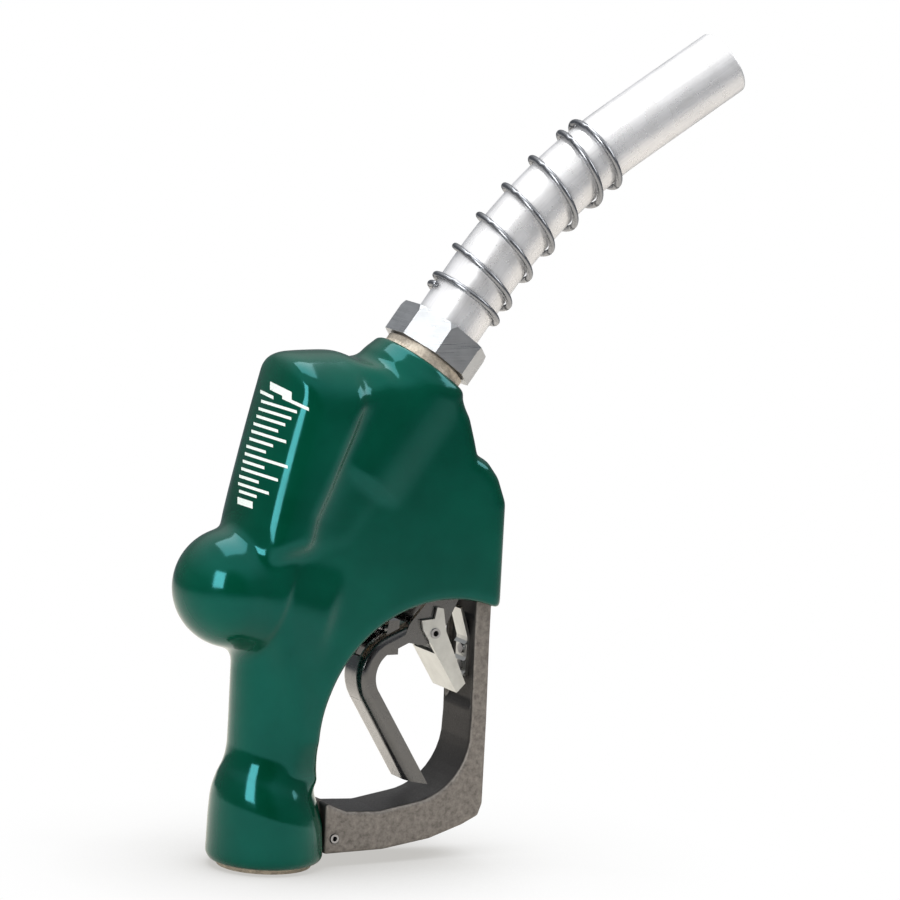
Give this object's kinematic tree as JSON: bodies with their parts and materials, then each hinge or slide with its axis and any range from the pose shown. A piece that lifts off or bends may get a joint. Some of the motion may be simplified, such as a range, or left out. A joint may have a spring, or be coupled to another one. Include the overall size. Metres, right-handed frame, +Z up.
{
  "type": "fuel nozzle",
  "caption": "Automatic shut-off fuel nozzle with a moulded green grip cover, bent spout with an anchor spring, squeeze lever with a hold-open clip, and a cast lever guard.",
  "frame": {"origin": "centre of the hose-inlet face, at the foot of the handle", "axes": "+Z up the handle along the inlet axis, +X to the lever and spout side, Y across the thickness; the nozzle is symmetric about Y = 0"},
  "size_m": [0.2672, 0.0576, 0.3655],
  "materials": {
    "cast_aluminium": "as cast",
    "cast_guard": "sand cast, grey-brown",
    "vinyl_cover": "gloss dipped vinyl, deep green",
    "steel": "plain",
    "stainless": "turned",
    "spring_steel": "drawn wire",
    "brass": "turned",
    "rubber": "matt black",
    "black_plastic": "moulded",
    "black_lever": "gloss black over steel",
    "zinc_plate": "bright zinc plated",
    "machined_nut": "machined",
    "polished_spout": "polished"
  },
  "bodies": {
    "nozzle_body": {"body_casting": "cast_aluminium", "scuff_cover": "vinyl_cover", "lever_guard": "cast_guard", "guard_pins": "steel", "inlet_strainer": "stainless", "strainer_ring": "steel", "main_valve_cap": "cast_aluminium", "cap_gasket": "rubber", "main_valve_seat": "brass", "main_valve_spring": "spring_steel", "stem_gland": "brass", "stem_packing": "rubber", "diaphragm_cover": "cast_aluminium", "diaphragm_cover_screws": "steel", "diaphragm": "rubber", "diaphragm_spring": "spring_steel", "plunger_sleeve": "brass", "plunger_spring": "spring_steel", "hold_open_rack": "zinc_plate", "rack_rivets": "steel", "spout_nut": "machined_nut", "spout_oring": "rubber", "spout_adapter": "machined_nut", "check_valve_seat": "brass", "check_valve_spring": "spring_steel", "check_valve_guide": "brass", "spout_tube": "polished_spout", "anchor_spring": "spring_steel", "vent_tube": "brass", "vent_tip": "brass"},
    "main_valve": {"valve_stem": "stainless", "valve_poppet": "brass", "valve_seal": "rubber", "poppet_nut": "steel"},
    "latch": {"diaphragm_plates": "brass", "latch_pin": "stainless", "latch_nut": "steel"},
    "plunger_body": {"plunger": "stainless", "latch_balls": "stainless", "lever_pivot_pin": "steel", "pivot_rings": "steel"},
    "hand_lever": {"lever": "black_lever", "clip_pin": "steel", "clip_spring": "spring_steel"},
    "clip": {"hold_open_clip": "zinc_plate"},
    "check_valve": {"check_valve_poppet": "black_plastic"}
  },
  "joints": [
    {"name": "plunger_slide", "type": "slide", "parent": "nozzle_body", "child": "plunger_body", "axis": [0.848, 0, -0.5299], "range_m": [0, 0.0035], "stiffness_N_per_m": 900, "springref_m": -0.004, "deforming": ["plunger_spring"]},
    {"name": "lever_pivot", "type": "hinge", "parent": "plunger_body", "child": "hand_lever", "pos_m": [0.082, 0, 0.121], "axis": [0, 1, 0], "range_deg": [0, 17], "stiffness_Nm_per_rad": 1.2, "springref_deg": -8.59},
    {"name": "clip_swing", "type": "hinge", "parent": "hand_lever", "child": "clip", "pos_m": [0.074, 0, 0.1015], "axis": [0, 1, 0], "range_deg": [0, 14], "stiffness_Nm_per_rad": 0.02, "springref_deg": -11.46, "deforming": ["clip_spring"]},
    {"name": "main_valve_lift", "type": "slide", "parent": "nozzle_body", "child": "main_valve", "axis": [-0.9613, 0, 0.2756], "range_m": [0, 0.0078], "deforming": ["main_valve_spring"]},
    {"name": "latch_lift", "type": "slide", "parent": "nozzle_body", "child": "latch", "axis": [-0.848, 0, 0.5299], "range_m": [0, 0.0025], "stiffness_N_per_m": 400, "springref_m": -0.003, "deforming": ["diaphragm_spring", "diaphragm"]},
    {"name": "check_valve_lift", "type": "slide", "parent": "nozzle_body", "child": "check_valve", "axis": [0.5878, 0, 0.809], "range_m": [0, 0.004], "stiffness_N_per_m": 200, "springref_m": -0.004, "deforming": ["check_valve_spring"]}
  ],
  "couplings": [
    {"joint": "main_valve_lift", "follows": "lever_pivot", "m_per_rad": 0.0262}
  ]
}
